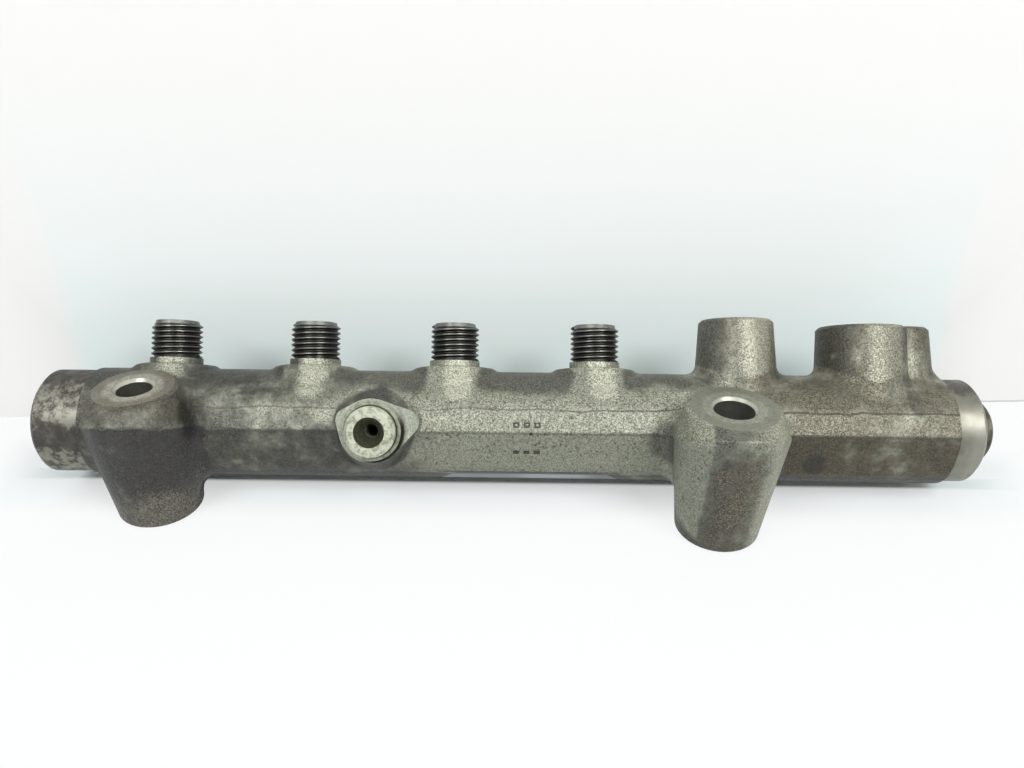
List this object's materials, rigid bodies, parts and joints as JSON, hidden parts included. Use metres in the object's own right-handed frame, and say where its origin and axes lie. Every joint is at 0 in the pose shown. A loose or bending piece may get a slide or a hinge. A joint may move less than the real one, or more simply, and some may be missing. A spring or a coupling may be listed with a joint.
{
  "type": "fuel rail",
  "caption": "Forged steel high-pressure fuel rail: a round tube with threaded pipe stubs, a sensor boss, a valve boss with a screw ear, and bolt columns along one side.",
  "frame": {"origin": "on the left bolt hole's axis, in the plane of the two feet", "axes": "+X along the rail from the blind end to the plugged end, +Z along the bolt holes away from the engine, +Y from the bolt holes towards the rail tube"},
  "size_m": [0.2695, 0.0617, 0.0523],
  "materials": {
    "rail_steel": "rough forged skin, warm grey and sooty, with bright turned and milled places",
    "plug_steel": "dark and dirty"
  },
  "bodies": {
    "root": {"rail_body": "rail_steel", "end_plug": "plug_steel"}
  },
  "joints": []
}
